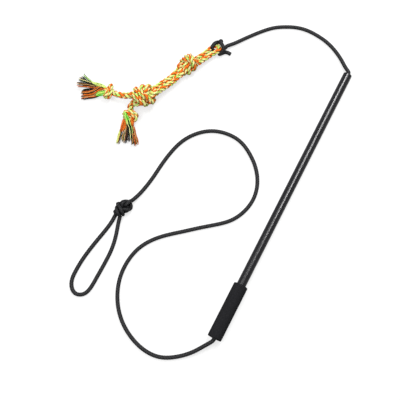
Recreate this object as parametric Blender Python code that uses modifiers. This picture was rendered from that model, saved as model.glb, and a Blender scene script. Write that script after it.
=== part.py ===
"""Flirt pole for a dog: a straight black tube with a foam grip, one braided cord
that runs right through it, a hand loop on one end and a knotted rope toy on the other.

Metres, +Z up. The pole lies along X with its tip at +X, and everything rests on z = 0.
The origin is below the middle of the box that holds the pole and the toy.
"""

import math

import bmesh
import bpy
import numpy as np
from mathutils import Matrix, Vector

# What touches keeps this gap, and a sawn edge is broken by as much.
GAP = 0.0003
EDGE_BREAK = 0.0003

# The pole: plastic tube, foam sleeve, and a moulded bush in each mouth.
POLE_Y = -0.233
POLE_HALF = 0.300
TUBE_R = 0.009
TUBE_BORE_R = 0.0075
GRIP_R = 0.014
GRIP_LONG = 0.111
GRIP_ROUND = 0.0016
BUSH_DEEP = 0.014
BUSH_LIP = 0.002
BUSH_HOLE_R = 0.0046
BUSH_MOUTH_R = 0.0066
# The pole rests on the grip's front edge and on its own tip, so it dips to the tip.
DIP = math.asin((GRIP_R - TUBE_R) / (2 * POLE_HALF - GRIP_LONG))

# The cord: 8 mm braid. It turns on the surface about a point just outside each mouth.
CORD_R = 0.0040
CORD_Z = 0.0041
CORD_STEP = 0.0145
RING_STEP = 0.0035
TAIL_STEP = 0.006
PIVOT_OUT = 0.0043

# The toy: a cotton rope folded in two.
ROPE_R = 0.0055
ROPE_APART = 0.0058
EYE_APART = 0.0101
EYE_Z = 0.0141
# The share of the neck over which the two ropes close up behind the eye.
EYE_SHARE = 0.6
ROPE_STEP = 0.008
SHANK_STEP = 0.012
TASSEL_STEP = 0.009
# Where the fold of the eye has its points, in degrees from the way that the rope comes.
FOLD_TURNS = (-65, -40, -15, 15, 40, 65)

# What enters a knot sits in a socket with a little play. The hand knot turns on its line,
# and the legs on the big knot, in round sockets cut for these swings.
SOCKET_CLEAR = 0.0004
SOCKET_LONG = 0.030
KNOT_SWING = math.radians(50)
LEG_SWING = math.radians(32)

# Free cord from the tip of the pole to the knot on the toy, x, y, z.
LURE_ROUTE = [
    (0.3087, -0.2280, 0.0085),
    (0.3152, -0.2194, 0.0070),
    (0.3249, -0.2083, 0.0052),
    (0.3348, -0.1942, 0.0043),
    (0.3424, -0.1800, CORD_Z),
    (0.3494, -0.1609, CORD_Z),
    (0.3534, -0.1390, CORD_Z),
    (0.3543, -0.1171, CORD_Z),
    (0.3502, -0.0944, CORD_Z),
    (0.3411, -0.0732, CORD_Z),
    (0.3288, -0.0535, CORD_Z),
    (0.3111, -0.0354, CORD_Z),
    (0.2918, -0.0198, 0.0044),
    (0.2729, -0.0062, 0.0054),
    (0.2554, 0.0061, 0.0068),
    (0.2478, 0.0122, 0.0078),
    (0.2442, 0.0151, 0.0083),
]

# Free cord from the butt of the pole round two bends to the hand knot.
HAND_ROUTE = [
    (-0.3097, -0.2304, 0.0149),
    (-0.3222, -0.2220, 0.0132),
    (-0.3320, -0.2153, 0.0110),
    (-0.3413, -0.2080, 0.0088),
    (-0.3618, -0.1857, 0.0052),
    (-0.3764, -0.1581, 0.0042),
    (-0.3783, -0.1271, CORD_Z),
    (-0.3699, -0.0968, CORD_Z),
    (-0.3544, -0.0695, CORD_Z),
    (-0.3325, -0.0467, CORD_Z),
    (-0.3056, -0.0301, CORD_Z),
    (-0.2763, -0.0206, CORD_Z),
    (-0.2451, -0.0190, CORD_Z),
    (-0.2148, -0.0254, CORD_Z),
    (-0.1877, -0.0409, CORD_Z),
    (-0.1648, -0.0628, CORD_Z),
    (-0.1445, -0.0869, CORD_Z),
    (-0.1245, -0.1105, CORD_Z),
    (-0.1045, -0.1354, CORD_Z),
    (-0.0821, -0.1589, CORD_Z),
    (-0.0535, -0.1737, CORD_Z),
    (-0.0214, -0.1781, CORD_Z),
    (0.0093, -0.1706, CORD_Z),
    (0.0358, -0.1534, CORD_Z),
    (0.0566, -0.1296, CORD_Z),
    (0.0708, -0.1017, CORD_Z),
    (0.0731, -0.0713, CORD_Z),
    (0.0645, -0.0414, CORD_Z),
    (0.0449, -0.0163, CORD_Z),
    (0.0182, 0.0012, CORD_Z),
    (-0.0120, 0.0103, CORD_Z),
    (-0.0426, 0.0148, CORD_Z),
    (-0.0738, 0.0174, CORD_Z),
    (-0.1038, 0.0216, 0.0049),
    (-0.1243, 0.0262, 0.0073),
    (-0.1375, 0.0305, 0.0098),
]

# The hand loop, out of the knot and back into it.
LOOP_ROUTE = [
    (-0.1740, 0.0454, 0.0085),
    (-0.1884, 0.0458, 0.0056),
    (-0.2074, 0.0479, 0.0043),
    (-0.2285, 0.0517, CORD_Z),
    (-0.2484, 0.0552, CORD_Z),
    (-0.2693, 0.0583, CORD_Z),
    (-0.2892, 0.0600, CORD_Z),
    (-0.3089, 0.0602, CORD_Z),
    (-0.3261, 0.0580, CORD_Z),
    (-0.3394, 0.0505, CORD_Z),
    (-0.3455, 0.0384, CORD_Z),
    (-0.3392, 0.0250, CORD_Z),
    (-0.3241, 0.0192, CORD_Z),
    (-0.3060, 0.0184, CORD_Z),
    (-0.2855, 0.0183, CORD_Z),
    (-0.2651, 0.0184, CORD_Z),
    (-0.2449, 0.0193, CORD_Z),
    (-0.2246, 0.0224, CORD_Z),
    (-0.2057, 0.0275, 0.0043),
    (-0.1878, 0.0332, 0.0056),
    (-0.1740, 0.0366, 0.0085),
]

# Where the cord goes through the toy's eye, and the middle of each knot.
EYE = Vector((0.2220, 0.0390, EYE_Z))
TIE_KNOT = Vector((0.2376, 0.0194, 0.0084))
HAND_KNOT = Vector((-0.1590, 0.0395, 0.0107))
UPPER_KNOT = Vector((0.1675, 0.0680, 0.0171))
BIG_KNOT = Vector((0.0665, 0.1127, 0.0216))
LEG_A_KNOT = Vector((0.0427, 0.1820, 0.0139))
LEG_B_KNOT = Vector((0.0163, 0.1205, 0.0139))

# Half length, half width and half height of each knot, how far it is turned, and the
# radius of its strand, which is drawn flat against its neighbours.
TIE_HALF, TIE_TURN, TIE_STRAND = (0.0165, 0.0085, 0.0086), math.radians(29), 0.0043
HAND_HALF, HAND_TURN, HAND_STRAND = (0.0225, 0.0140, 0.0110), math.radians(-35), 0.0052
UPPER_HALF, UPPER_TURN, UPPER_STRAND = (0.0190, 0.0180, 0.0175), math.radians(-28), 0.0074
BIG_HALF, BIG_TURN, BIG_STRAND = (0.0230, 0.0225, 0.0220), math.radians(-40), 0.0082
LEG_A_HALF, LEG_A_TURN = (0.0110, 0.0155, 0.0143), math.radians(100)
LEG_B_HALF, LEG_B_TURN = (0.0125, 0.0165, 0.0143), math.radians(192)
LEG_STRAND = 0.0055

# The tie's cord: over the toy's rope, down through the eye, and back under it.
TIE_RING = [
    (0.2480, 0.0262, 0.0098),
    (0.2500, 0.0322, 0.0150),
    (0.2452, 0.0384, 0.0218),
    (0.2360, 0.0412, 0.0247),
    (0.2270, 0.0406, 0.0243),
    (0.2226, 0.0393, 0.0212),
    (EYE.x, EYE.y, 0.0178),
    (EYE.x, EYE.y, EYE_Z),
    (EYE.x, EYE.y, 0.0106),
    (0.2219, 0.0378, 0.0067),
    (0.2212, 0.0335, 0.0043),
    (0.2205, 0.0265, 0.0042),
    (0.2218, 0.0190, 0.0047),
    (0.2258, 0.0148, 0.0066),
]
TIE_TAIL = [(0.2376, 0.0128, 0.0070), (0.2362, 0.0068, 0.0050), (0.2335, 0.0018, 0.0042)]

# The toy's folded rope: its middle line from the eye to the upper knot, and on to the big one.
NECK_ROUTE = [
    (EYE.x, EYE.y, EYE_Z),
    (0.2090, 0.0458, 0.0143),
    (0.1960, 0.0525, 0.0154),
    (0.1775, 0.0626, 0.0172),
]
SHANK_ROUTE = [
    (0.1560, 0.0730, 0.0178),
    (0.1340, 0.0785, 0.0186),
    (0.1120, 0.0862, 0.0196),
    (0.0870, 0.0982, 0.0208),
    (0.0785, 0.1035, 0.0213),
]
LEG_A_ROUTE = [
    (0.0562, 0.1320, 0.0180),
    (0.0500, 0.1450, 0.0168),
    (0.0455, 0.1600, 0.0156),
    (0.0434, 0.1760, 0.0148),
]
LEG_B_ROUTE = [
    (0.0452, 0.1190, 0.0180),
    (0.0385, 0.1215, 0.0168),
    (0.0300, 0.1228, 0.0156),
    (0.0215, 0.1215, 0.0148),
]

# The frayed ends: where each starts, where it ends, its half width and half height there.
TASSEL_A = [(0.0406, 0.1925, 0.0130), (0.0362, 0.2110, 0.0118), (0.0295, 0.2385, 0.0106)]
TASSEL_B = [(0.0045, 0.1170, 0.0130), (-0.0148, 0.1130, 0.0118), (-0.0415, 0.1040, 0.0106)]
TASSEL_WIDE = 0.0225
TASSEL_HIGH = 0.0092
TASSEL_LOCKS = 9
LOCK_RELIEF = 0.10
LOCK_RAGGED = 0.0035

# Grain at which a knot's strands are fused into one lump, and how many faces it keeps.
KNOT_VOXEL = 0.0016
TIE_FACES, HAND_FACES = 800, 1000
UPPER_FACES, BIG_FACES, LEG_FACES = 1050, 1350, 750

# A ball-ended tube starts with rings this far behind the ball's middle, in radii.
BALL_RINGS = (0.985, 0.84, 0.50)


def clear_scene():
    for obj in list(bpy.data.objects):
        bpy.data.objects.remove(obj, do_unlink=True)


def collection(name):
    made = bpy.data.collections.new(name)
    bpy.context.scene.collection.children.link(made)
    return made


def material(name, colour, roughness, metallic=0.0):
    made = bpy.data.materials.new(name)
    made.use_nodes = True
    shader = made.node_tree.nodes["Principled BSDF"]
    shader.inputs["Base Color"].default_value = (*colour, 1.0)
    shader.inputs["Roughness"].default_value = roughness
    shader.inputs["Metallic"].default_value = metallic
    made.diffuse_color = (*colour, 1.0)
    return made


clear_scene()
PARTS = collection("flirt_pole")
CUTTERS = collection("cutters")

BLACK_TUBE = material("black_tube", (0.030, 0.031, 0.034), 0.38)
BLACK_PLASTIC = material("black_plastic", (0.022, 0.022, 0.024), 0.45)
FOAM = material("black_foam", (0.021, 0.021, 0.023), 0.92)
BRAID = material("black_braid", (0.035, 0.036, 0.040), 0.80)
COTTON = material("cotton_rope", (0.86, 0.47, 0.12), 0.90)
YARN = material("frayed_yarn", (0.62, 0.40, 0.14), 0.95)


def add(name, data, surface, where=PARTS):
    obj = bpy.data.objects.new(name, data)
    data.materials.append(surface)
    where.objects.link(obj)
    return obj


# Curves


def smooth_line(points, step):
    """Evenly spaced points on the natural cubic spline through the given ones."""
    p = np.array(points, float)
    t = np.concatenate([[0.0], np.cumsum(np.linalg.norm(np.diff(p, axis=0), axis=1))])
    n = len(p)
    h = np.diff(t)
    left = np.eye(n)
    right = np.zeros((n, 3))
    for i in range(1, n - 1):
        left[i, i - 1 : i + 2] = h[i - 1], 2 * (h[i - 1] + h[i]), h[i]
        right[i] = 6 * ((p[i + 1] - p[i]) / h[i] - (p[i] - p[i - 1]) / h[i - 1])
    bend = np.linalg.solve(left, right)
    fine = np.linspace(0, t[-1], 40 * n)
    k = np.clip(np.searchsorted(t, fine, side="right") - 1, 0, n - 2)
    a, b = (t[k + 1] - fine)[:, None], (fine - t[k])[:, None]
    w = h[k][:, None]
    line = (bend[k] * a**3 + bend[k + 1] * b**3) / (6 * w)
    line += (p[k] / w - bend[k] * w / 6) * a + (p[k + 1] / w - bend[k + 1] * w / 6) * b
    run = np.concatenate([[0.0], np.cumsum(np.linalg.norm(np.diff(line, axis=0), axis=1))])
    count = max(2, round(run[-1] / step) + 1)
    even = np.linspace(0, run[-1], count)
    return np.stack([np.interp(even, run, line[:, c]) for c in range(3)], 1)


def tube(name, line, radius, surface, sides_level=3, ball_start=False, closed=False):
    """A round tube along a line. With ball_start it begins as a ball about the first point."""
    line = np.array(line, float)
    widths = np.ones(len(line))
    if ball_start:
        ahead = line[1] - line[0]
        ahead /= np.linalg.norm(ahead)
        line = np.concatenate([[line[0] - ahead * radius * b for b in BALL_RINGS], line])
        widths = np.concatenate([[math.sqrt(1 - b * b) for b in BALL_RINGS], widths])
    data = bpy.data.curves.new(name, "CURVE")
    data.dimensions = "3D"
    spline = data.splines.new("POLY")
    spline.points.add(len(line) - 1)
    for point, place, width in zip(spline.points, line, widths, strict=True):
        point.co = (*place, 1.0)
        point.radius = width
    spline.use_cyclic_u = closed
    data.bevel_depth = radius
    data.bevel_resolution = sides_level
    data.use_fill_caps = True
    return add(name, data, surface)


def as_mesh(obj):
    """The same object with its curve made into a welded mesh."""
    graph = bpy.context.evaluated_depsgraph_get()
    graph.update()
    data = bpy.data.meshes.new_from_object(obj.evaluated_get(graph))
    shape = bmesh.new()
    shape.from_mesh(data)
    bmesh.ops.remove_doubles(shape, verts=shape.verts, dist=1e-6)
    shape.to_mesh(data)
    shape.free()
    name, surface = obj.name, obj.data.materials[0]
    bpy.data.objects.remove(obj, do_unlink=True)
    data.materials.clear()
    return add(name, data, surface)


# Turned pieces, whose own Z axis is the pole's


def pole_axis():
    """An empty whose Z axis runs from butt to tip through the middle of the pole."""
    axis = bpy.data.objects.new("pole_axis", None)
    middle_z = TUBE_R + math.sin(DIP) * POLE_HALF
    axis.location = (0.0, POLE_Y, middle_z)
    axis.rotation_euler = (0.0, math.pi / 2 + DIP, 0.0)
    PARTS.objects.link(axis)
    return axis


def on_pole(along):
    """The point of the pole's centreline that far from its middle, towards the tip."""
    middle_z = TUBE_R + math.sin(DIP) * POLE_HALF
    return (math.cos(DIP) * along, POLE_Y, middle_z - math.sin(DIP) * along)


def turned(name, profile, surface, axis, steps=40):
    """A solid turned about the pole's axis from a closed outline of (radius, place) points."""
    data = bpy.data.meshes.new(name)
    count = len(profile)
    edges = [(i, (i + 1) % count) for i in range(count)]
    data.from_pydata([(r, 0.0, z) for r, z in profile], edges, [])
    obj = add(name, data, surface)
    screw = obj.modifiers.new("turn", "SCREW")
    screw.axis = "Z"
    screw.angle = math.tau
    screw.steps = screw.render_steps = steps
    screw.use_merge_vertices = True
    screw.merge_threshold = 0.00001
    screw.use_smooth_shade = True
    obj.parent = axis
    return obj


def corner(radius, place, size, first, count=4):
    """A quarter round about (radius, place), clockwise from the angle first, in degrees."""
    angles = [math.radians(first - 90 * i / (count - 1)) for i in range(count)]
    return [(radius + size * math.cos(a), place + size * math.sin(a)) for a in angles]


def make_pole():
    axis = pole_axis()
    tip, butt = POLE_HALF, -POLE_HALF
    tube_ends = (tip - BUSH_LIP - GAP, butt + BUSH_LIP + GAP)
    turned(
        "pole_tube",
        [
            (TUBE_R - EDGE_BREAK, tube_ends[0]),
            (TUBE_R, tube_ends[0] - EDGE_BREAK),
            (TUBE_R, tube_ends[1] + EDGE_BREAK),
            (TUBE_R - EDGE_BREAK, tube_ends[1]),
            (TUBE_BORE_R, tube_ends[1]),
            (TUBE_BORE_R, tube_ends[0]),
        ],
        BLACK_TUBE,
        axis,
    )
    front = butt + GRIP_LONG
    grip = GRIP_ROUND
    turned(
        "foam_grip",
        corner(GRIP_R - grip, front - grip, grip, 90)
        + corner(GRIP_R - grip, butt + grip, grip, 0)
        + [(TUBE_R + GAP, butt), (TUBE_R + GAP, front)],
        FOAM,
        axis,
    )
    lip = BUSH_LIP * 0.9
    flare = BUSH_MOUTH_R - BUSH_HOLE_R
    mouth = [math.radians(a) for a in (0, 35, 65, 90)]
    outline = (
        corner(TUBE_R - lip, tip - lip, lip, 90)
        + [
            (TUBE_R, tip - BUSH_LIP),
            (TUBE_BORE_R - GAP, tip - BUSH_LIP),
            (TUBE_BORE_R - GAP, tip - BUSH_DEEP),
            (BUSH_HOLE_R, tip - BUSH_DEEP),
        ]
        + [
            (BUSH_MOUTH_R - flare * math.cos(a), tip - flare + flare * math.sin(a))
            for a in mouth
        ]
    )
    turned("tip_bush", outline, BLACK_PLASTIC, axis, 24)
    turned("butt_bush", [(r, -z) for r, z in reversed(outline)], BLACK_PLASTIC, axis, 24)
    ends = [on_pole(-POLE_HALF), on_pole(POLE_HALF)]
    tube("inner_line", smooth_line(ends, 0.1), CORD_R, BRAID)


# Knots


def knot(name, middle, half, turn, strand, surface, faces, sockets):
    """A pulled knot as one fused lump: a strand wound as a trefoil, with sockets for what enters."""
    t = np.linspace(0, math.tau, 48, endpoint=False)
    wound = np.stack([np.sin(t) + 2 * np.sin(2 * t), np.cos(t) - 2 * np.cos(2 * t), -np.sin(3 * t)], 1)
    reach = np.abs(wound).max(0)
    wound *= (np.array(half) - strand) / reach
    c, s = math.cos(turn), math.sin(turn)
    line = wound @ np.array([[c, s, 0], [-s, c, 0], [0, 0, 1]]) + np.array(middle)
    obj = as_mesh(tube(name, line, strand, surface, 3, closed=True))
    remesh = obj.modifiers.new("fuse", "REMESH")
    remesh.mode = "VOXEL"
    remesh.voxel_size = KNOT_VOXEL
    remesh.use_smooth_shade = True
    fewer = obj.modifiers.new("fewer_faces", "DECIMATE")
    graph = bpy.context.evaluated_depsgraph_get()
    fewer.show_viewport = False
    graph.update()
    fused = obj.evaluated_get(graph).data
    fewer.ratio = faces / (2 * len(fused.polygons))
    fewer.show_viewport = True
    for index, (point, ahead, radius, long) in enumerate(sockets):
        cutter = bore(f"{name}_socket_{index}", Vector(point), Vector(ahead), radius, long)
        cut = obj.modifiers.new(f"socket_{index}", "BOOLEAN")
        cut.operation = "DIFFERENCE"
        cut.object = cutter
    return obj


def bore(name, point, ahead, radius, long):
    """A cutter: a ball where long is 0, and otherwise a cylinder from point along ahead."""
    shape = bmesh.new()
    if long:
        bmesh.ops.create_cone(
            shape, cap_ends=True, segments=14, radius1=radius, radius2=radius, depth=long
        )
        bmesh.ops.translate(shape, verts=shape.verts, vec=(0, 0, long / 2))
    else:
        bmesh.ops.create_uvsphere(shape, u_segments=14, v_segments=9, radius=radius)
    data = bpy.data.meshes.new(name)
    turn = Vector((0, 0, 1)).rotation_difference(ahead.normalized()).to_matrix().to_4x4()
    shape.transform(Matrix.Translation(point) @ turn)
    shape.to_mesh(data)
    shape.free()
    cutter = bpy.data.objects.new(name, data)
    CUTTERS.objects.link(cutter)
    cutter.hide_render = True
    cutter.display_type = "WIRE"
    return cutter


def entry(line, radius, end=False):
    """A socket round one end of a line, so that what follows the line enters with a little play."""
    line = np.array(line, float)
    if end:
        line = line[::-1]
    ahead = line[1] - line[0]
    ahead /= np.linalg.norm(ahead)
    start = line[0] - ahead * SOCKET_CLEAR
    return tuple(start), tuple(ahead), radius + SOCKET_CLEAR, SOCKET_LONG


def ball_socket(pivot, radius, swing):
    """A socket that a ball-ended tube turns in, by up to swing radians either way."""
    return tuple(pivot), (0, 0, 1), radius / math.cos(swing) + GAP, 0.0


def beside(line, offset):
    """A line that keeps a level distance to the left of another, which may change along it."""
    ahead = np.gradient(line, axis=0)[:, :2]
    ahead /= np.linalg.norm(ahead, axis=1)[:, None]
    moved = line.copy()
    moved[:, 0] -= ahead[:, 1] * offset
    moved[:, 1] += ahead[:, 0] * offset
    return moved


# Cords


def make_lure_line():
    start = on_pole(POLE_HALF + PIVOT_OUT)
    line = smooth_line([start, *LURE_ROUTE], CORD_STEP)
    tube("lure_line", line, CORD_R, BRAID, 2, ball_start=True)
    ring = smooth_line(TIE_RING, RING_STEP)
    tube("tie_ring", ring, CORD_R, BRAID)
    tail = smooth_line(TIE_TAIL, TAIL_STEP)
    tube("tie_tail", tail, CORD_R, BRAID)
    sockets = [
        entry(line, CORD_R, end=True),
        entry(ring, CORD_R),
        entry(ring, CORD_R, end=True),
        entry(tail, CORD_R),
    ]
    knot("tie_knot", TIE_KNOT, TIE_HALF, TIE_TURN, TIE_STRAND, BRAID, TIE_FACES, sockets)


def make_hand_line():
    start = on_pole(-POLE_HALF - PIVOT_OUT)
    line = smooth_line([start, *HAND_ROUTE], CORD_STEP)
    tube("hand_line", line, CORD_R, BRAID, 2, ball_start=True)
    loop = smooth_line(LOOP_ROUTE, CORD_STEP)
    tube("hand_loop", loop, CORD_R, BRAID, 2)
    sockets = [
        ball_socket(line[-1], CORD_R, KNOT_SWING),
        entry(line, CORD_R, end=True),
        entry(loop, CORD_R),
        entry(loop, CORD_R, end=True),
    ]
    knot("hand_knot", HAND_KNOT, HAND_HALF, HAND_TURN, HAND_STRAND, BRAID, HAND_FACES, sockets)


# Toy


def make_toy():
    neck = smooth_line(NECK_ROUTE, ROPE_STEP)
    closing = np.clip(np.linspace(0, 1 / EYE_SHARE, len(neck)), 0, 1)
    apart = ROPE_APART + (EYE_APART - ROPE_APART) * (0.5 + 0.5 * np.cos(math.pi * closing))
    sides = [beside(neck, side * apart) for side in (-1, 1)]
    ahead = neck[0] - neck[1]
    facing = math.atan2(ahead[1], ahead[0])
    turns = [facing + math.radians(a) for a in FOLD_TURNS]
    fold = [(EYE.x + EYE_APART * math.cos(a), EYE.y + EYE_APART * math.sin(a), EYE_Z) for a in turns]
    first, last = sides if np.linalg.norm(sides[0][0] - fold[0]) < EYE_APART else sides[::-1]
    eye = np.concatenate([first[::-1], fold, last])
    tube("toy_eye_rope", eye, ROPE_R, COTTON)

    shank = smooth_line(SHANK_ROUTE, SHANK_STEP)
    near, far = beside(shank, ROPE_APART), beside(shank, -ROPE_APART)
    tube("shank_rope_left", near, ROPE_R, COTTON)
    tube("shank_rope_right", far, ROPE_R, COTTON)

    knot(
        "toy_upper_knot", UPPER_KNOT, UPPER_HALF, UPPER_TURN, UPPER_STRAND, COTTON, UPPER_FACES,
        [entry(eye, ROPE_R), entry(eye, ROPE_R, end=True), entry(near, ROPE_R), entry(far, ROPE_R)],
    )
    knot(
        "toy_big_knot", BIG_KNOT, BIG_HALF, BIG_TURN, BIG_STRAND, COTTON, BIG_FACES,
        [
            entry(near, ROPE_R, end=True),
            entry(far, ROPE_R, end=True),
            ball_socket(LEG_A_ROUTE[0], ROPE_R, LEG_SWING),
            ball_socket(LEG_B_ROUTE[0], ROPE_R, LEG_SWING),
        ],
    )
    legs = (
        ("a", LEG_A_ROUTE, LEG_A_KNOT, LEG_A_HALF, LEG_A_TURN, TASSEL_A),
        ("b", LEG_B_ROUTE, LEG_B_KNOT, LEG_B_HALF, LEG_B_TURN, TASSEL_B),
    )
    for letter, route, middle, half, turn, frayed in legs:
        leg = smooth_line(route, ROPE_STEP)
        tube(f"leg_{letter}_rope", leg, ROPE_R, COTTON, ball_start=True)
        ends = smooth_line(frayed, TASSEL_STEP)
        knot(
            f"leg_{letter}_knot", middle, half, turn, LEG_STRAND, COTTON, LEG_FACES,
            [entry(leg, ROPE_R, end=True), entry(ends, ROPE_R)],
        )
        tassel(f"leg_{letter}_tassel", ends)


def tassel(name, line):
    """A frayed rope end: a bundle that spreads flat, with its locks showing round the rim."""
    shape = bmesh.new()
    ahead = np.gradient(line, axis=0)
    ahead /= np.linalg.norm(ahead, axis=1)[:, None]
    around = np.linspace(0, math.tau, 4 * TASSEL_LOCKS, endpoint=False)
    rings = []
    for place, forward, share in zip(line, ahead, np.linspace(0, 1, len(line)), strict=True):
        left = np.cross((0, 0, 1), forward)
        left /= np.linalg.norm(left)
        up = np.cross(forward, left)
        wide = ROPE_R + (TASSEL_WIDE - ROPE_R) * share**1.3
        high = ROPE_R + (TASSEL_HIGH - ROPE_R) * share
        lock = 1 + LOCK_RELIEF * share * np.cos(TASSEL_LOCKS * around)
        ragged = LOCK_RAGGED * share**3 * np.cos(TASSEL_LOCKS * around)
        ring = (
            place
            + np.outer(np.cos(around) * wide * lock, left)
            + np.outer(np.sin(around) * high * lock, up)
            + np.outer(ragged, forward)
        )
        rings.append([shape.verts.new(p) for p in ring])
    for a, b in zip(rings, rings[1:]):
        for i in range(len(a)):
            j = (i + 1) % len(a)
            shape.faces.new((a[i], a[j], b[j], b[i]))
    shape.faces.new(reversed(rings[0]))
    shape.faces.new(rings[-1])
    bmesh.ops.recalc_face_normals(shape, faces=shape.faces)
    data = bpy.data.meshes.new(name)
    shape.to_mesh(data)
    shape.free()
    data.shade_smooth()
    return add(name, data, YARN)


make_pole()
make_lure_line()
make_hand_line()
make_toy()
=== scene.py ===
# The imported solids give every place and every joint. The whole object is a straight stick,
# one black cord through it, and a cotton rope toy tied on in front, all lying on a surface.
import math

import bpy
import numpy as np
from mathutils import Matrix, Vector, noise


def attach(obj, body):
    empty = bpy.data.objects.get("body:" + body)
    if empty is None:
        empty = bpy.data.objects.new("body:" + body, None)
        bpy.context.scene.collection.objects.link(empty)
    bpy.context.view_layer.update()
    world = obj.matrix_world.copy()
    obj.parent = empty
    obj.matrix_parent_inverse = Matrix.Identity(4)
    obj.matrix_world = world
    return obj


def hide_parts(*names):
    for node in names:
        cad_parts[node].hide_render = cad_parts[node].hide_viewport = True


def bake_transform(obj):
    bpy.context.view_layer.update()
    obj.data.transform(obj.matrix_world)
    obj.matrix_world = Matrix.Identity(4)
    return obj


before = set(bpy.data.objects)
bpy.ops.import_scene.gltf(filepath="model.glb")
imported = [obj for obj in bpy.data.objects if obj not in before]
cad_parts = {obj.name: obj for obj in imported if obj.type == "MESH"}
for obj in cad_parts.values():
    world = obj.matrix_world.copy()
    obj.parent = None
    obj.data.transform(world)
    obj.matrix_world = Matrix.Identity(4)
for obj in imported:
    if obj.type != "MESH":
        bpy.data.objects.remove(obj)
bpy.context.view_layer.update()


# Camera. It looks down on the surface from 15 degrees off upright, and its right-hand side
# follows this direction on the surface.
CAMERA_PLACE = Vector((-0.4102, -0.2605, 1.4177))
LOOKED_AT = Vector((-0.0729, -0.0857, 0.0))
PICTURE_RIGHT = Vector((0.46018, -0.88783, 0.0))
LENS_ANGLE = math.radians(30.0)

back = (CAMERA_PLACE - LOOKED_AT).normalized()
picture_up = back.cross(PICTURE_RIGHT)
camera = bpy.data.objects.new("camera", bpy.data.cameras.new("camera"))
camera.data.angle = LENS_ANGLE
camera.matrix_world = Matrix.Translation(CAMERA_PLACE) @ Matrix(
    (PICTURE_RIGHT, picture_up, back)
).transposed().to_4x4()
bpy.context.scene.collection.objects.link(camera)
bpy.context.scene.camera = camera
bpy.context.scene.view_settings.view_transform = "Standard"


# Floor. A plain sheet of dull paper that the object lies on. A glow that only the camera sees
# makes it white, and its paper keeps the soft shadows.
FLOOR_HALF = 6.0
FLOOR_BELOW = 0.0002
FLOOR_COLOUR = (0.34, 0.34, 0.34, 1.0)
FLOOR_GLOW = 0.72


class Wire:
    """A node's output in a material. Arithmetic on it adds Math nodes."""

    def __init__(self, tree, socket):
        self.tree, self.socket = tree, socket

    def node(self, kind, inputs=None, output=0, stops=None, **settings):
        """Any node: its settings first, then the values or wires of its sockets."""
        made = self.tree.nodes.new(kind)
        for name, value in settings.items():
            setattr(made, name, value)
        if stops:
            places = made.color_ramp.elements
            while len(places) < len(stops):
                places.new(1.0)
            for element, (place, colour) in zip(places, stops):
                element.position, element.color = place, (*colour, 1.0)
        for name, value in (inputs or {}).items():
            if isinstance(value, Wire):
                self.tree.links.new(value.socket, made.inputs[name])
            else:
                made.inputs[name].default_value = value
        return Wire(self.tree, made.outputs[output])

    def maths(self, operation, *values):
        """One Math node on these numbers or wires."""
        return self.node("ShaderNodeMath", dict(enumerate(values)), operation=operation)

    def __add__(self, other):
        return self.maths("ADD", self, other)

    def __mul__(self, other):
        return self.maths("MULTIPLY", self, other)

    __radd__, __rmul__ = __add__, __mul__


def finish(name, **fixed):
    """A new material with these fixed values, its shader's node, and a wire to start from."""
    made = bpy.data.materials.new(name)
    made.use_nodes = True
    shader = made.node_tree.nodes["Principled BSDF"]
    for socket, value in fixed.items():
        shader.inputs[socket.replace("_", " ")].default_value = value
    return made, shader, Wire(made.node_tree, None)


def feed(shader, socket, wire):
    """Links a wire to one of the shader's sockets."""
    wire.tree.links.new(wire.socket, shader.inputs[socket])


floor_mesh = bpy.data.meshes.new("floor")
floor_mesh.from_pydata(
    [
        (x * FLOOR_HALF, y * FLOOR_HALF, -FLOOR_BELOW)
        for x, y in ((-1, -1), (1, -1), (1, 1), (-1, 1))
    ],
    [],
    [(0, 1, 2, 3)],
)
floor = bpy.data.objects.new("floor", floor_mesh)
bpy.context.scene.collection.objects.link(floor)
paper, shader, wire = finish(
    "white_paper",
    Base_Color=FLOOR_COLOUR,
    Roughness=1.0,
    Specular_IOR_Level=0.0,
    Emission_Strength=1.0,
)
seen = wire.node("ShaderNodeLightPath", output="Is Camera Ray")
feed(shader, "Emission Color", seen * FLOOR_GLOW)
floor_mesh.materials.append(paper)


# Light. An even pale sky, a wide soft box high on the picture's left, and a long narrow one high
# beyond its top, which draws the bright line along the stick.
SKY = 0.16
WIDE_BOX = {"place": (-0.55, 0.55, 1.9), "size": (1.2, 1.2), "power": 23.0, "turn": 0.0}
LONG_BOX = {"place": (1.38, -0.01, 2.1), "size": (1.9, 0.34), "power": 54.0, "turn": 26.0}

world = bpy.data.worlds.new("sky")
bpy.context.scene.world = world
world.use_nodes = True
sky = world.node_tree.nodes["Background"]
sky.inputs["Color"].default_value = (1.0, 1.0, 1.0, 1.0)
sky.inputs["Strength"].default_value = SKY
for name, box in (("wide_box", WIDE_BOX), ("long_box", LONG_BOX)):
    light = bpy.data.objects.new(name, bpy.data.lights.new(name, "AREA"))
    light.data.shape = "RECTANGLE"
    light.data.size, light.data.size_y = box["size"]
    light.data.energy = box["power"]
    light.location = box["place"]
    if box["turn"]:
        light.rotation_euler = (0.0, 0.0, math.radians(box["turn"]))
    else:
        light.rotation_euler = (LOOKED_AT - light.location).to_track_quat("-Z", "Y").to_euler()
    bpy.context.scene.collection.objects.link(light)


# Cord. One length of black round braid, 8 mm thick, of eight yarns each way round a soft
# core. It comes out of both ends of the stick and lies on the surface in wide bends.
CORD_R = 0.0040
CORD_Z = 0.0041
CORD_STEP = 0.00095
CORD_SIDES = 32
# How many yarns run each way, how much cord one takes to move round by a yarn's width, how deep
# the gaps are, and how much of the yarns' colour painted shade leaves where strands press on one
# another.
BRAID_YARNS = 8
BRAID_LONG = 0.0050
BRAID_RELIEF = 0.00034
BRAID_CONTACT_SHADE = 0.2
# Points fewer than this many steps apart on one line belong to one bend, not to two strands.
SAME_BEND = 14
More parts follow.
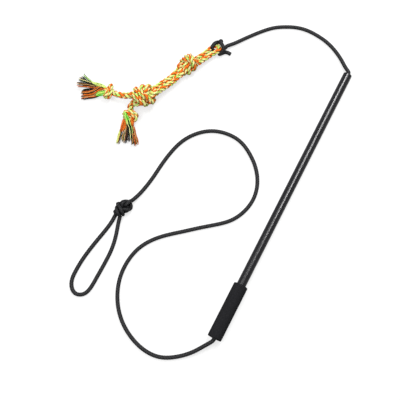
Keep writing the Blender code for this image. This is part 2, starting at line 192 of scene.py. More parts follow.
# The stick rests on its grip and its tip, so it dips a little towards the tip. The cord passes
# a point just outside each mouth. It bends from just inside the mouth, is straight before
# that, and its free stretch starts a little farther in.
POLE_Y = -0.233
POLE_HALF = 0.300
POLE_MIDDLE_Z = 0.0120675
POLE_DIP = math.asin(0.0102249)
PIVOT_OUT = 0.0043
BENDS_INSIDE = 0.001
STRAIGHT_INSIDE = 0.002
CORD_INSIDE = 0.010
# Where the cord's middle lies: in front from the tip to the toy, behind from the butt to the
# hand knot, and round the hand loop.
LURE_ROUTE = [
    (0.3087, -0.2280, 0.0085),
    (0.3152, -0.2194, 0.0070),
    (0.3249, -0.2083, 0.0052),
    (0.3348, -0.1942, 0.0043),
    (0.3424, -0.1800, CORD_Z),
    (0.3494, -0.1609, CORD_Z),
    (0.3534, -0.1390, CORD_Z),
    (0.3543, -0.1171, CORD_Z),
    (0.3502, -0.0944, CORD_Z),
    (0.3411, -0.0732, CORD_Z),
    (0.3288, -0.0535, CORD_Z),
    (0.3111, -0.0354, CORD_Z),
    (0.2918, -0.0198, 0.0044),
    (0.2729, -0.0062, 0.0054),
    (0.2554, 0.0061, 0.0068),
    (0.2478, 0.0122, 0.0078),
    (0.2442, 0.0151, 0.0083),
]
HAND_ROUTE = [
    (-0.3097, -0.2304, 0.0149),
    (-0.3222, -0.2220, 0.0132),
    (-0.3320, -0.2153, 0.0110),
    (-0.3413, -0.2080, 0.0088),
    (-0.3618, -0.1857, 0.0052),
    (-0.3764, -0.1581, 0.0042),
    (-0.3783, -0.1271, CORD_Z),
    (-0.3699, -0.0968, CORD_Z),
    (-0.3544, -0.0695, CORD_Z),
    (-0.3325, -0.0467, CORD_Z),
    (-0.3056, -0.0301, CORD_Z),
    (-0.2763, -0.0206, CORD_Z),
    (-0.2451, -0.0190, CORD_Z),
    (-0.2148, -0.0254, CORD_Z),
    (-0.1877, -0.0409, CORD_Z),
    (-0.1648, -0.0628, CORD_Z),
    (-0.1445, -0.0869, CORD_Z),
    (-0.1245, -0.1105, CORD_Z),
    (-0.1045, -0.1354, CORD_Z),
    (-0.0821, -0.1589, CORD_Z),
    (-0.0535, -0.1737, CORD_Z),
    (-0.0214, -0.1781, CORD_Z),
    (0.0093, -0.1706, CORD_Z),
    (0.0358, -0.1534, CORD_Z),
    (0.0566, -0.1296, CORD_Z),
    (0.0708, -0.1017, CORD_Z),
    (0.0731, -0.0713, CORD_Z),
    (0.0645, -0.0414, CORD_Z),
    (0.0449, -0.0163, CORD_Z),
    (0.0182, 0.0012, CORD_Z),
    (-0.0120, 0.0103, CORD_Z),
    (-0.0426, 0.0148, CORD_Z),
    (-0.0738, 0.0174, CORD_Z),
    (-0.1038, 0.0216, 0.0049),
    (-0.1243, 0.0262, 0.0073),
    (-0.1375, 0.0305, 0.0098),
]
LOOP_ROUTE = [
    (-0.1740, 0.0454, 0.0085),
    (-0.1884, 0.0458, 0.0056),
    (-0.2074, 0.0479, 0.0043),
    (-0.2285, 0.0517, CORD_Z),
    (-0.2484, 0.0552, CORD_Z),
    (-0.2693, 0.0583, CORD_Z),
    (-0.2892, 0.0600, CORD_Z),
    (-0.3089, 0.0602, CORD_Z),
    (-0.3261, 0.0580, CORD_Z),
    (-0.3394, 0.0505, CORD_Z),
    (-0.3455, 0.0384, CORD_Z),
    (-0.3392, 0.0250, CORD_Z),
    (-0.3241, 0.0192, CORD_Z),
    (-0.3060, 0.0184, CORD_Z),
    (-0.2855, 0.0183, CORD_Z),
    (-0.2651, 0.0184, CORD_Z),
    (-0.2449, 0.0193, CORD_Z),
    (-0.2246, 0.0224, CORD_Z),
    (-0.2057, 0.0275, 0.0043),
    (-0.1878, 0.0332, 0.0056),
    (-0.1740, 0.0366, 0.0085),
]


def on_pole(along):
    """The point of the pole's middle line that far from its middle, towards the tip."""
    drop = math.sin(POLE_DIP) * along
    return (math.cos(POLE_DIP) * along, POLE_Y, POLE_MIDDLE_Z - drop)


def length_along(line):
    """How far each point of a line lies from its start, measured along it."""
    return np.concatenate([[0.0], np.cumsum(np.linalg.norm(np.diff(line, axis=0), axis=1))])


def smooth_line(points, step):
    """Evenly spaced points on the natural cubic spline through the given ones."""
    p = np.array(points, float)
    t = length_along(p)
    n = len(p)
    h = np.diff(t)
    left = np.eye(n)
    right = np.zeros((n, 3))
    for i in range(1, n - 1):
        left[i, i - 1 : i + 2] = h[i - 1], 2 * (h[i - 1] + h[i]), h[i]
        right[i] = 6 * ((p[i + 1] - p[i]) / h[i] - (p[i] - p[i - 1]) / h[i - 1])
    bend = np.linalg.solve(left, right)
    fine = np.linspace(0, t[-1], 40 * n)
    k = np.clip(np.searchsorted(t, fine, side="right") - 1, 0, n - 2)
    a, b = (t[k + 1] - fine)[:, None], (fine - t[k])[:, None]
    w = h[k][:, None]
    line = (bend[k] * a**3 + bend[k + 1] * b**3) / (6 * w)
    line += (p[k] / w - bend[k] * w / 6) * a + (p[k + 1] / w - bend[k + 1] * w / 6) * b
    return even(line, max(2, round(length_along(line)[-1] / step) + 1))


def even(line, count):
    """That many evenly spaced points on a line."""
    run = length_along(line)
    at = np.linspace(0, run[-1], count)
    return np.stack([np.interp(at, run, line[:, c]) for c in range(3)], 1)


def frames(line):
    """Along a line: its direction, and two more square to it that turn as little as they can."""
    ahead = np.gradient(line, axis=0)
    ahead /= np.linalg.norm(ahead, axis=1)[:, None]
    side = np.empty_like(line)
    now = np.cross((0.0, 0.0, 1.0), ahead[0])
    if np.linalg.norm(now) < 0.1:
        now = np.array((1.0, 0.0, 0.0))
    for i, along in enumerate(ahead):
        now = now - along * (now @ along)
        now /= np.linalg.norm(now)
        side[i] = now
    return ahead, side, np.cross(ahead, side)


def rings_round(line, sides, radius):
    """A ring of points round each point of a line, with a radius for each ring or each point."""
    _, side, up = frames(line)
    turn = math.tau * np.arange(sides) / sides
    out = side[:, None] * np.cos(turn)[:, None] + up[:, None] * np.sin(turn)[:, None]
    return line[:, None] + out * radius[:, :, None]


def skin(name, tubes, surface, lengths=None, capped=True, **marks):
    """One mesh of closed tubes, each given as rings of points. Marks are values at the points.

    The corner mark lay holds the turns round each tube and the length along it."""
    corners, faces, counts, lay, start = [], [], [], [], 0
    for number, rings in enumerate(tubes):
        rows, sides = rings.shape[:2]
        i, j = np.meshgrid(np.arange(rows - 1), np.arange(sides), indexing="ij")
        k = (j + 1) % sides
        quad = np.stack([i * sides + j, i * sides + k, (i + 1) * sides + k, (i + 1) * sides + j], 2)
        faces.append(quad.reshape(-1) + start)
        counts.append(np.full((rows - 1) * sides, 4))
        long = lengths[number] if lengths else length_along(rings.mean(1))
        turn = np.stack([j, j + 1, j + 1, j], 2) / sides
        run = np.stack([long[i], long[i], long[i + 1], long[i + 1]], 2)
        lay.append(np.stack([turn, run, np.zeros_like(run)], 3).reshape(-1, 3))
        if capped:
            first, last = np.arange(sides)[::-1], (rows - 1) * sides + np.arange(sides)
            faces.append(np.concatenate([first, last]) + start)
            counts.append(np.array([sides, sides]))
            for cap in (long[0], long[-1]):
                lay.append(np.tile((0.0, cap, 0.0), (sides, 1)))
        corners.append(rings.reshape(-1, 3))
        start += rows * sides
    corners, faces, counts = np.concatenate(corners), np.concatenate(faces), np.concatenate(counts)
    mesh = bpy.data.meshes.new(name)
    mesh.vertices.add(len(corners))
    mesh.vertices.foreach_set("co", corners.ravel())
    mesh.loops.add(len(faces))
    mesh.loops.foreach_set("vertex_index", faces)
    mesh.polygons.add(len(counts))
    mesh.polygons.foreach_set("loop_start", np.concatenate([[0], np.cumsum(counts)[:-1]]))
    mesh.update(calc_edges=True)
    mesh.polygons.foreach_set("use_smooth", counts == 4)
    mesh.attributes.new("lay", "FLOAT_VECTOR", "CORNER").data.foreach_set(
        "vector", np.concatenate(lay).ravel()
    )
    for mark, values in marks.items():
        mesh.attributes.new(mark, "FLOAT", "POINT").data.foreach_set(
            "value", np.concatenate([np.ravel(v) for v in values])
        )
    mesh.materials.append(surface)
    made = bpy.data.objects.new(name, mesh)
    bpy.context.scene.collection.objects.link(made)
    return made


# The cord's surface. The yarns show as short grey flecks, with painted shade darkening the gaps
# between them, and their fibres as fine slanted waves, in radians for each turn round the cord and
# each metre along it.
FIBRES_ROUND = 301.6
FIBRES_ALONG = 3100.0

cord_black, shader, wire = finish("black_braid", Roughness=0.62, Specular_IOR_Level=0.25)
relief = wire.node("ShaderNodeAttribute", output="Fac", attribute_name="relief")
lay = wire.node("ShaderNodeAttribute", output="Vector", attribute_name="lay")
round_cord, along_cord = (
    wire.node("ShaderNodeSeparateXYZ", {0: lay}, output=n) for n in (0, 1)
)
fibre = wire.maths("SINE", round_cord * FIBRES_ROUND + along_cord * FIBRES_ALONG)
place = wire.node("ShaderNodeTexCoord", output="Object")
fleck = wire.node("ShaderNodeTexNoise", {"Scale": 900.0, "Detail": 3.0, "Vector": place})
# Painted shade: the colour darkens in the braid's gaps and where strands press together, and the same
# value drives the bump.
shade = relief * 0.72 + fleck * 0.30 + fibre * 0.05
colour = wire.node(
    "ShaderNodeValToRGB",
    {0: shade},
    stops=[
        (0.20, (0.005, 0.005, 0.006)),
        (0.55, (0.017, 0.017, 0.019)),
        (0.80, (0.042, 0.042, 0.045)),
        (1.00, (0.095, 0.095, 0.098)),
    ],
)
feed(shader, "Base Color", colour)
bump = wire.node("ShaderNodeBump", {"Height": shade, "Strength": 0.5, "Distance": 0.00015})
feed(shader, "Normal", bump)


def braid_height(turns, along):
    """How high the surface of the braid stands there, from 0 in a gap to 1 on a yarn.

    Each yarn goes over two others and then under two."""
    a = BRAID_YARNS * turns + along / BRAID_LONG
    b = BRAID_YARNS * turns - along / BRAID_LONG
    phase = np.mod(np.floor(a) + np.floor(b), 4)
    over = phase < 2
    across = np.where(over, np.mod(a, 1), np.mod(b, 1))
    float_at = np.where(over, phase + np.mod(b, 1), phase - 2 + np.mod(a, 1)) / 2
    return np.sqrt(np.clip(1 - (2 * across - 1) ** 2, 0, 1)) * np.sin(math.pi * float_at) ** 0.6


def braided(name, line, start=0.0, squeezed=0.0, part=slice(None), among=None):
    """A stretch of the cord along a line, or along a part of it.

    Start is the length of the braid before the line. Squeezed is how much thinner it is away
    from its ends. Among holds the points of another stretch: where it is given, painted shade
    darkens the braid where it lies close to that stretch or to itself."""
    run = length_along(line)
    along = start + run
    ends = np.clip(np.minimum(run, run[-1] - run) / (3 * CORD_R), 0, 1)
    high = braid_height(np.arange(CORD_SIDES) / CORD_SIDES, along[:, None])
    radius = CORD_R - BRAID_RELIEF * (1 - high) - squeezed * ends[:, None]
    rings = rings_round(line, CORD_SIDES, radius)
    # Painted shade: the braid's colour darkens where it lies close to another strand.
    if among is not None:
        for i, ring in enumerate(rings):
            near = np.concatenate([among, line[: max(0, i - SAME_BEND)], line[i + SAME_BEND :]])
            gap = np.linalg.norm(ring[:, None] - near, axis=2).min(1) - CORD_R + squeezed
            high[i] *= BRAID_CONTACT_SHADE + (1 - BRAID_CONTACT_SHADE) * np.clip(gap / CORD_R, 0, 1)
    made = skin(name, [rings[part]], cord_black, [along[part]], relief=[high[part]])
    return made


# Inside the stick the cord runs straight from one end to the other.
inside = POLE_HALF - CORD_INSIDE
inner_cord = braided("inner_cord", smooth_line([on_pole(-inside), on_pole(inside)], CORD_STEP))
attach(inner_cord, "pole")
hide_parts("inner_line")

# In front it leaves the tip, turns on itself in one wide bend and comes back to the toy.
mouth = [on_pole(inside), on_pole(POLE_HALF - STRAIGHT_INSIDE), on_pole(POLE_HALF + PIVOT_OUT)]
lure_line = smooth_line([*mouth, *LURE_ROUTE], CORD_STEP)
lure_cord = braided("lure_cord", lure_line, 2 * inside)
on_pole(POLE_HALF - BENDS_INSIDE)
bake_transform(lure_cord)
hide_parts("lure_line")

# Behind, it leaves the butt and lies in two bends up to the knot of the hand loop. Only this many
# steps of it form the piece at the butt. The rest is a piece of its own, which stays as it is.
HAND_ROOT = 27

mouth = [on_pole(-inside), on_pole(STRAIGHT_INSIDE - POLE_HALF), on_pole(-POLE_HALF - PIVOT_OUT)]
hand_line = smooth_line([*mouth, *HAND_ROUTE], CORD_STEP)
hand_root = braided("hand_cord_root", hand_line, part=slice(HAND_ROOT + 1))
on_pole(BENDS_INSIDE - POLE_HALF)
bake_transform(hand_root)
hand_cord = braided("hand_cord", hand_line, part=slice(HAND_ROOT, None))
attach(hand_cord, "hand_line")
for piece in (hand_root, hand_cord):
    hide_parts("hand_line")

# The hand loop comes out of its knot, goes round in a long eye and back into it.
loop_line = smooth_line(LOOP_ROUTE, CORD_STEP)
loop_cord = braided("loop_cord", loop_line)
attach(loop_cord, "hand_loop")
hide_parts("hand_loop")


# Stick. A straight extruded plastic tube, satin black, with the faint lines of its die along
# it, and a moulded bush pressed into each mouth, which the cord runs through.
tube_black, shader, wire = finish("black_tube", Specular_IOR_Level=0.8)
place = wire.node("ShaderNodeTexCoord", output="Object")
drawn = wire.node(
    "ShaderNodeVectorMath", {0: place, 1: (2.0, 900.0, 900.0)}, operation="MULTIPLY"
)
lines = wire.node("ShaderNodeTexNoise", {"Vector": drawn, "Scale": 1.0, "Detail": 2.0})
haze = wire.node("ShaderNodeTexNoise", {"Vector": place, "Scale": 24.0, "Detail": 4.0})
feed(shader, "Roughness", 0.22 + lines * 0.04 + haze * 0.03)
colour = wire.node(
    "ShaderNodeMix",
    {"Factor": lines, 6: (0.011, 0.011, 0.013, 1.0), 7: (0.018, 0.018, 0.021, 1.0)},
    output=2,
    data_type="RGBA",
)
feed(shader, "Base Color", colour)
bump = wire.node("ShaderNodeBump", {"Height": lines, "Strength": 0.08, "Distance": 0.00004})
feed(shader, "Normal", bump)
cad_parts["pole_tube"].material_slots[0].material = tube_black

bush_black, shader, wire = finish("black_plastic", Specular_IOR_Level=0.5)
place = wire.node("ShaderNodeTexCoord", output="Object")
grain = wire.node("ShaderNodeTexNoise", {"Vector": place, "Scale": 2500.0, "Detail": 3.0})
feed(shader, "Roughness", 0.38 + grain * 0.16)
colour = wire.node(
    "ShaderNodeMix",
    {"Factor": grain, 6: (0.018, 0.018, 0.020, 1.0), 7: (0.028, 0.028, 0.031, 1.0)},
    output=2,
    data_type="RGBA",
)
feed(shader, "Base Color", colour)
bump = wire.node("ShaderNodeBump", {"Height": grain, "Strength": 0.3, "Distance": 0.00005})
feed(shader, "Normal", bump)
for name in ("tip_bush", "butt_bush"):
    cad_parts[name].material_slots[0].material = bush_black


# Grip. A sleeve of black closed-cell foam, cut square from a long tube and pushed over the
# stick's rear end. Its skin is dull, finely pored and a little uneven.
GRIP_R = 0.014
GRIP_LONG = 0.111
GRIP_ROUND = 0.0014
# Each flat end has rings of points at the bore and at these two radii inside its rounded rim.
GRIP_BORE_R = 0.00925
GRIP_FACE = (0.0105, 0.0118)
GRIP_SIDES = 112
GRIP_ROWS = 150
# How high its swells and pits are, and how many of each there are to a metre.
GRIP_UNEVEN, GRIP_UNEVEN_PACE = 0.00016, 90
GRIP_PITTED, GRIP_PITTED_PACE = 0.00009, 900

foam, shader, wire = finish("black_foam", Roughness=0.93, Specular_IOR_Level=0.25)
place = wire.node("ShaderNodeTexCoord", output="Object")
cells = wire.node("ShaderNodeTexVoronoi", {"Vector": place, "Scale": 1100.0})
clouds = wire.node("ShaderNodeTexNoise", {"Vector": place, "Scale": 260.0, "Detail": 5.0})
pored = cells * 0.6 + clouds * 0.5
colour = wire.node(
    "ShaderNodeValToRGB",
    {0: pored},
    stops=[
        (0.15, (0.003, 0.003, 0.004)),
        (0.50, (0.011, 0.011, 0.013)),
        (0.85, (0.021, 0.021, 0.024)),
    ],
)
feed(shader, "Base Color", colour)
bump = wire.node("ShaderNodeBump", {"Height": pored, "Strength": 0.6, "Distance": 0.0004})
feed(shader, "Normal", bump)

end_half = [(radius, 0.0) for radius in (GRIP_BORE_R, *GRIP_FACE)]
for a in (math.radians(degrees) for degrees in range(0, 91, 15)):
    end_half.append((GRIP_R - GRIP_ROUND * (1 - math.sin(a)), GRIP_ROUND * (1 - math.cos(a))))
body = np.linspace(GRIP_ROUND, GRIP_LONG - GRIP_ROUND, GRIP_ROWS)
outline = [*end_half, *((GRIP_R, along) for along in body[1:-1])]
outline += [(radius, GRIP_LONG - along) for radius, along in reversed(end_half)]
rings = np.empty((len(outline) + 1, GRIP_SIDES, 3))
for i, (radius, along) in enumerate([*outline, outline[0]]):
    middle = Vector(on_pole(along - POLE_HALF))
    for j in range(GRIP_SIDES):
        a = math.tau * j / GRIP_SIDES
        across, up = math.cos(a), math.sin(a)
        out = Vector((math.sin(POLE_DIP) * up, across, math.cos(POLE_DIP) * up))
        p = middle + out * radius
        if radius > GRIP_BORE_R:
            swell = GRIP_UNEVEN * (noise.noise(p * GRIP_UNEVEN_PACE) - 0.5)
            pit = GRIP_PITTED * noise.noise(p * GRIP_PITTED_PACE)
            p += out * (swell + pit)
        rings[i, j] = p
sleeve = skin("foam_sleeve", [rings], foam, capped=False)
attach(sleeve, "pole")
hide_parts("foam_grip")


# Knots. A knot starts here as a loose open one and is pulled at both ends, round by round,
# until its strands press on one another. Two strands side by side make a doubled knot.
PULL_ROUNDS = 2400
# For one strand and for two, in half widths of a strand: how wide the open knot is, how far out
# its ends are held, and how far off the knot's own line its heart reaches.
OPEN_WIDE = {1: 6.5, 2: 9}
HELD_OUT = {1: 12, 2: 14}
HEART_OFF = {1: 1.2, 2: 2.1}
# How high the crossings of the open knot stand, and how far apart its two strands are.
OPEN_HIGH = 2.6
STRANDS_APART = 2.05
# In each round the cord straightens by the first share, and pressed strands part by the second.
# Its steps shrink to the third while strands press by less than the fourth, in half widths.
STRAIGHTENS = 0.08
PARTS = 0.3
DRAWS_IN = 0.9985
PRESSED_ENOUGH = 0.12
# How many points are held at each end.
HELD_POINTS = 3


def loose_knot(kind, size, lift):
    """One turn of an open knot whose two ends leave along x."""
    if kind == "overhand":
        t = math.pi / 3 + np.linspace(0.0, math.tau, 200)
        flat = np.stack([np.sin(t) + 2 * np.sin(2 * t), np.cos(t) - 2 * np.cos(2 * t)], 1)
        height = -np.sin(3 * t)
    else:
        t = np.linspace(0.0, math.tau, 200)
        far = 2 + np.cos(2 * t)
        flat = np.stack([far * np.cos(3 * t), far * np.sin(3 * t)], 1)
        height = np.sin(4 * t)
    c, s = (flat[1] - flat[0]) / np.linalg.norm(flat[1] - flat[0])
    flat = flat @ np.array([[c, -s], [s, c]])
    return np.column_stack([flat * size / 3, height * lift])


def pulled_tight(kind, strands, radius, count):
    """The lines of a knot pulled tight along x, with strands that touch at this radius."""
    size, reach = OPEN_WIDE[strands] * radius, HELD_OUT[strands] * radius
    turn = loose_knot(kind, size, OPEN_HIGH * radius)
    out = 3 * radius + 0.6 * size
    enter = np.linspace([-reach, 0, 0], [-out, turn[0, 1] * 0.7, turn[0, 2]], 24)
    leave = np.linspace([out, turn[-1, 1] * 0.7, turn[-1, 2]], [reach, 0, 0], 24)
    whole = even(np.concatenate([enter, turn[4:-4], leave]), 300)
    for _ in range(60):
        whole[1:-1] += 0.5 * (0.5 * (whole[:-2] + whole[2:]) - whole[1:-1])
    ahead = np.gradient(whole, axis=0)
    left = np.cross([0, 0, 1], ahead)
    left /= np.linalg.norm(left, axis=1)[:, None]
    sides = (np.arange(strands) - (strands - 1) / 2) * STRANDS_APART * radius
    p = np.array([even(whole + left * side, count) for side in sides])
    flat = p.reshape(-1, 3)
    index = np.tile(np.arange(count), strands)
    owner = np.repeat(np.arange(strands), count)
    step = np.linalg.norm(np.diff(p, axis=1), axis=2).mean()
    first, second = np.triu_indices(strands * count, 1)
    same = owner[first] == owner[second]
    middle = np.abs(np.linspace(-1, 1, count)) < 0.5
    for n in range(PULL_ROUNDS):
        for start in (0, 1, 0, 1):
            a, b = p[:, start:-1:2], p[:, start + 1 :: 2]
            apart = b - a
            fix = 0.5 * (1 - step / np.linalg.norm(apart, axis=2, keepdims=True)) * apart
            a += fix
            b -= fix
        p[:, 1:-1] += STRAIGHTENS * (0.5 * (p[:, :-2] + p[:, 2:]) - p[:, 1:-1])
        if n % 8 == 0:
            gap = np.abs(index[first] - index[second]) * step
            apart = flat[first] - flat[second]
            near = (apart * apart).sum(1) < (3 * radius) ** 2
            near &= ~(same & (gap < math.pi * radius))
            i, j = first[near], second[near]
        apart = flat[i] - flat[j]
        distance = np.maximum(np.linalg.norm(apart, axis=1), 1e-9)
        press = np.clip(2 * radius - distance, 0, None)
        push = (PARTS * press / distance)[:, None] * apart
        np.add.at(flat, i, push)
        np.add.at(flat, j, -push)
        for end, way in ((0, 1), (-1, -1)):
            for k in range(HELD_POINTS):
                at = end + way * k
                p[:, at, 0] = -way * (reach - k * step)
                p[:, at, 1], p[:, at, 2] = sides, 0.0
        hits = press > 0
        if (press[hits].mean() if hits.any() else 0) < PRESSED_ENOUGH * radius:
            step *= DRAWS_IN
        p[:, HELD_POINTS:-HELD_POINTS, 0] -= p[:, middle, 0].mean() * 0.2
    return p


def laid_knot(lines, radius, middle, heading, roll, stretch=(1, 1, 1), low=0.0):
    """The heart of a knot, rolled about its own line, turned to its heading and let down.

    It gives each strand's points, and how far left each strand enters and leaves. Low is how
    far above the surface the knot is let down."""
    c, s = math.cos(roll), math.sin(roll)
    turned = lines @ np.array([[1, 0, 0], [0, c, s], [0, -s, c]])
    off = np.linalg.norm(lines[:, :, 1:], axis=2)
    half = np.abs(lines[:, :, 0])[off > HEART_OFF[len(lines)] * radius].max()
    hearts = [strand[np.abs(strand[:, 0]) < half + 0.3 * radius] for strand in turned]
    enters, leaves = [h[0, 1] for h in hearts], [h[-1, 1] for h in hearts]
    low_corner = np.min([h.min(0) for h in hearts], 0)
    high_corner = np.max([h.max(0) for h in hearts], 0)
    core = np.array([0.0, (low_corner + high_corner)[1] / 2, low_corner[2]])
    c, s = math.cos(heading), math.sin(heading)
    level = np.array([[c, s, 0], [-s, c, 0], [0, 0, 1]])
    place = np.array([middle[0], middle[1], radius + low])
    return [(h - core) * np.array(stretch) @ level + place for h in hearts], enters, leaves


# Hand knot. The end of the cord is folded back and tied in a doubled figure of eight, which
# leaves the hand loop. It sits close, and the cut end stays short beside the line.
HAND_KNOT = (-0.1590, 0.0395)
HAND_KNOT_HEADING = math.radians(150)
HAND_KNOT_R = 0.0034
HAND_KNOT_SQUEEZE = 0.0005
EIGHT_POINTS = 84

eight = pulled_tight("eight", 2, HAND_KNOT_R, EIGHT_POINTS)
hearts, enters, leaves = laid_knot(eight, HAND_KNOT_R, HAND_KNOT, HAND_KNOT_HEADING, roll=0.0)
loop_ends = [loop_line[:3], loop_line[::-1][:3]]
if leaves[0] < leaves[1]:
    loop_ends.reverse()
line_strand = int(abs(enters[1]) < abs(enters[0]))
strands = []
for k, heart in enumerate(hearts):
    begin = [hand_line[-1], *heart] if k == line_strand else heart[2:]
    strands.append(smooth_line([*begin, loop_ends[k][0]], CORD_STEP))
for k, strand in enumerate(strands):
    piece = braided(
        f"hand_knot_strand_{k}", strand, squeezed=HAND_KNOT_SQUEEZE, among=strands[1 - k]
    )
    if k == line_strand:
        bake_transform(piece)
    else:
        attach(piece, "hand_loop")
    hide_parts("hand_knot")


# Toy rope. One length of 11 mm cotton rope, three twisted plies of six yarns, folded in two.
# Both halves run through the two knots of the body, and each tail ends in a knot of its own.
ROPE_STEP = 0.0017
# One turn of the plies takes this much rope, and the yarns of a ply turn this often the other way.
ROPE_LAY = 0.027
YARN_TURN = -1.6
# As shares of the rope's half width: how far out the plies lie, how far out in its ply each
# yarn lies, and the yarn's own half width.
PLY_OUT = 0.53
YARN_OUT = 0.30
YARN_R = 0.180
YARN_SIDES = 6
# The rope's half width from the eye to the first knot, between the knots, in the second knot,
# in each tail and in the tail's knot.
EYE_R, SHANK_R, BIG_R, LEG_R, LEG_TIED_R = 0.0055, 0.0060, 0.0062, 0.0070, 0.0053
# The two ropes lie this far to each side of their common line, and wider along the first share of
# it, at the eye. The fold's points lie at these turns round the eye.
ROPE_APART = 0.0050
EYE = (0.2254, 0.0321, 0.0141)
EYE_APART = 0.0066
EYE_SHARE = 0.38
FOLD_TURNS = (-65, -40, -15, 15, 40, 65)
# For each knot: the half width of its strands, its middle, its heading, how it is stretched
# along, across and up, how far above the surface it lies, how near to it the routes end, and how
# many points a strand has in a single and in a doubled knot.
UPPER_KNOT_R, BIG_KNOT_R, LEG_KNOT_R = 0.0047, 0.0059, 0.0048
UPPER_KNOT, UPPER_HEADING = (0.1647, 0.0656), math.radians(153)
BIG_KNOT, BIG_HEADING = (0.0605, 0.1096), math.radians(146)
LEG_A_KNOT, LEG_A_HEADING = (0.0412, 0.1813), math.radians(103)
LEG_B_KNOT, LEG_B_HEADING = (0.0148, 0.1177), math.radians(192)
BIG_STRETCH, LEG_STRETCH = (1.05, 1.0, 0.95), (0.45, 1.32, 0.9)
BODY_KNOT_LOW, LEG_KNOT_LOW = 0.0008, 0.0006
UPPER_ROOM, BIG_ROOM, LEG_ROOM = 0.0195, 0.0230, 0.0125
SINGLE_POINTS, DOUBLE_POINTS = 56, 72
# The middle of the two ropes from the eye to the first knot and on to the second, each tail's
# middle up to its knot, and where each tail ends in it. The steps are for the lines through them.
NECK_STEP, SHANK_STEP, LEG_STEP = 0.008, 0.010, 0.008
NECK_ROUTE = [
    EYE,
    (0.2173, 0.0362, 0.0142),
    (0.2088, 0.0404, 0.0144),
    (0.1988, 0.0446, 0.0148),
    (0.1902, 0.0492, 0.0152),
    (0.1820, 0.0540, 0.0158),
    (0.1745, 0.0590, 0.0166),
]
SHANK_ROUTE = [
    (0.1524, 0.0690, 0.0178),
    (0.1334, 0.0757, 0.0182),
    (0.1218, 0.0789, 0.0184),
    (0.1078, 0.0855, 0.0188),
    (0.0943, 0.0921, 0.0192),
    (0.0827, 0.0972, 0.0200),
    (0.0740, 0.1020, 0.0206),
]
LEG_A_ROUTE = [
    (0.0570, 0.1293, 0.0185),
    (0.0528, 0.1362, 0.0178),
    (0.0474, 0.1472, 0.0165),
    (0.0440, 0.1569, 0.0158),
    (0.0418, 0.1700, 0.0150),
]
LEG_B_ROUTE = [
    (0.0456, 0.1207, 0.0185),
    (0.0388, 0.1245, 0.0178),
    (0.0325, 0.1254, 0.0168),
    (0.0275, 0.1240, 0.0158),
]
END_A, END_B = (0.0398, 0.1905, 0.0130), (0.0062, 0.1160, 0.0130)


def beside(line, offset):
    """A line that keeps a level distance to the left of another, which may change along it."""
    ahead = np.gradient(line, axis=0)[:, :2]
    ahead /= np.linalg.norm(ahead, axis=1)[:, None]
    moved = line.copy()
    moved[:, 0] -= ahead[:, 1] * offset
    moved[:, 1] += ahead[:, 0] * offset
    return moved


def clear_of(line, middle, radius):
    """The points of a line that lie outside a circle on the surface."""
    return line[np.linalg.norm(line[:, :2] - np.array(middle), axis=1) > radius]


neck = smooth_line(NECK_ROUTE, NECK_STEP)
closing = np.clip(np.linspace(0, 1 / EYE_SHARE, len(neck)), 0, 1)
apart = ROPE_APART + (EYE_APART - ROPE_APART) * (0.5 + 0.5 * np.cos(math.pi * closing))
necks = [clear_of(beside(neck, way * apart), UPPER_KNOT, UPPER_ROOM) for way in (1, -1)]
ahead = neck[0] - neck[1]
facing = math.atan2(ahead[1], ahead[0])
fold = np.array([
    (EYE[0] + EYE_APART * math.cos(a), EYE[1] + EYE_APART * math.sin(a), EYE[2])
    for a in (facing + math.radians(t) for t in FOLD_TURNS)
])
if np.linalg.norm(fold[0] - necks[0][0]) > np.linalg.norm(fold[-1] - necks[0][0]):
    fold = fold[::-1]
shank = smooth_line(SHANK_ROUTE, SHANK_STEP)
shanks = [
    clear_of(clear_of(beside(shank, way * ROPE_APART), UPPER_KNOT, UPPER_ROOM), BIG_KNOT, BIG_ROOM)
    for way in (1, -1)
]
single = pulled_tight("overhand", 1, LEG_KNOT_R, SINGLE_POINTS)
double = pulled_tight("overhand", 2, UPPER_KNOT_R, DOUBLE_POINTS)
upper, upper_in, upper_out = laid_knot(
    double, UPPER_KNOT_R, UPPER_KNOT, UPPER_HEADING, roll=0.0, low=BODY_KNOT_LOW
)
grown = double * (BIG_KNOT_R / UPPER_KNOT_R)
big, big_in, big_out = laid_knot(
    grown, BIG_KNOT_R, BIG_KNOT, BIG_HEADING, math.radians(180), BIG_STRETCH, BODY_KNOT_LOW
)
legs = []
for route, knot, heading, end in (
    (LEG_B_ROUTE, LEG_B_KNOT, LEG_B_HEADING, END_B),
    (LEG_A_ROUTE, LEG_A_KNOT, LEG_A_HEADING, END_A),
):
    heart, _, _ = laid_knot(single, LEG_KNOT_R, knot, heading, 0.0, LEG_STRETCH, LEG_KNOT_LOW)
    stretch = clear_of(smooth_line(route, LEG_STEP), knot, LEG_ROOM)
    legs.append([stretch, heart[0], np.array([end])])

# Each half of the rope takes the strand that lies on its own side as it enters a knot, and
# goes on in the stretch on the side where that strand leaves.
halves, turns = [], []
for side in (0, 1):
    strand = int((upper_in[1] > upper_in[0]) == (side == 0))
    right = int(upper_out[strand] < upper_out[1 - strand])
    through = int((big_in[1] > big_in[0]) == (right == 0))
    leg = int(big_out[through] < big_out[1 - through])
    halves.append([necks[side], upper[strand], shanks[right], big[through], *legs[leg]])
    turns.append((("left", "right")[right], ("leg_b", "leg_a")[leg]))

